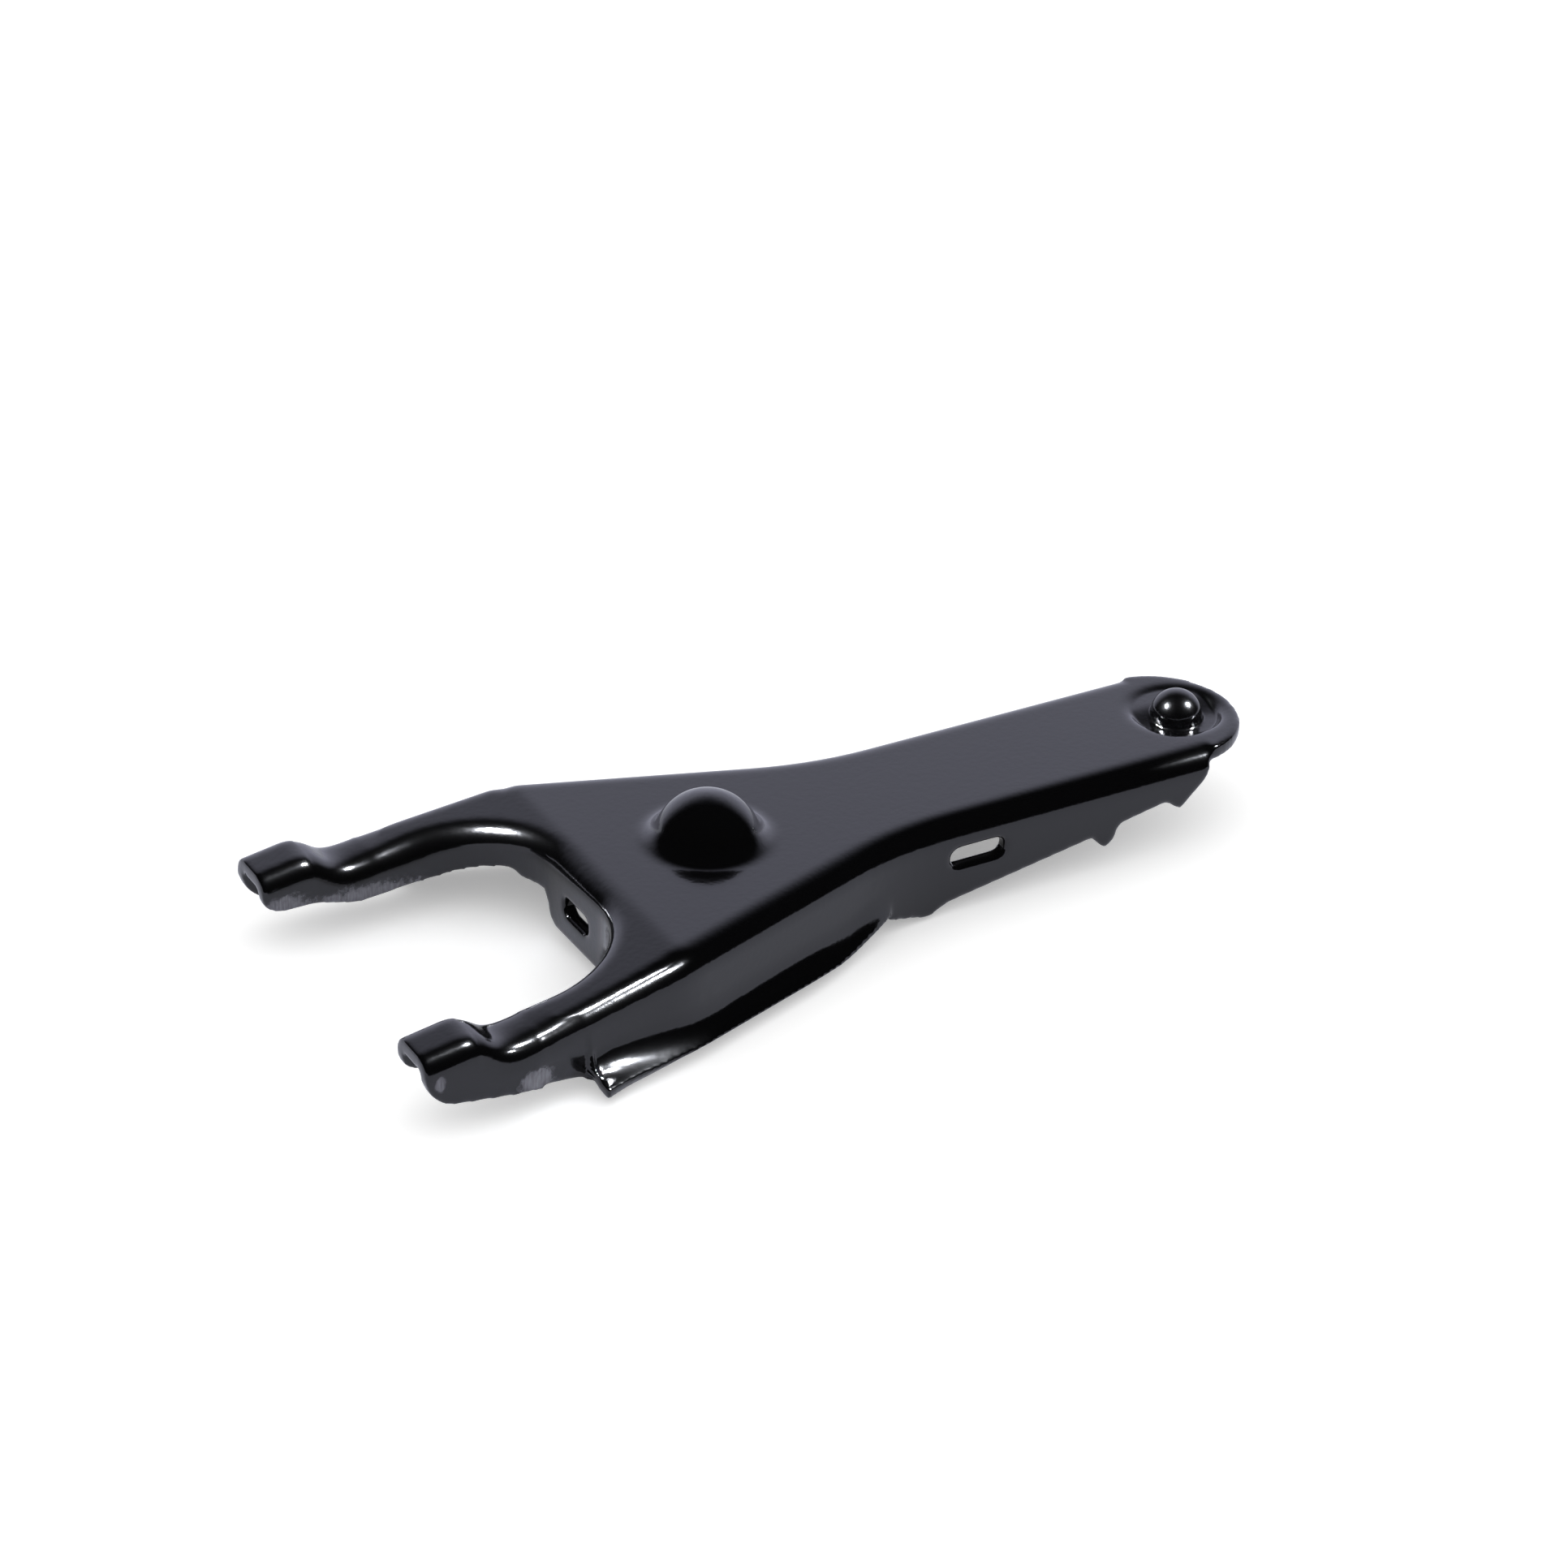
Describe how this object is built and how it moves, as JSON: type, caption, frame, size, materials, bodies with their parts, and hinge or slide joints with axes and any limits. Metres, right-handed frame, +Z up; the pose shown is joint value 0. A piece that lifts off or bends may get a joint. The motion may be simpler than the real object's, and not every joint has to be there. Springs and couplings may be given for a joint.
{
  "type": "clutch release fork",
  "caption": "Pressed steel clutch release fork: a flanged channel arm with a domed pivot socket and a push-rod cup, splitting into two humped channel tines",
  "frame": {"origin": "centre of the pivot ball that the main dome seats on, 1.5 mm below the top of the web", "axes": "+X along the arm to the push-rod end, -X to the tines, +Y across, +Z up out of the domed face of the web; XZ is the plane of symmetry"},
  "size_m": [0.1958, 0.0922, 0.029],
  "materials": {
    "black_paint": "gloss black paint over pressed steel"
  },
  "bodies": {
    "root": {"release_fork": "black_paint"}
  },
  "joints": []
}
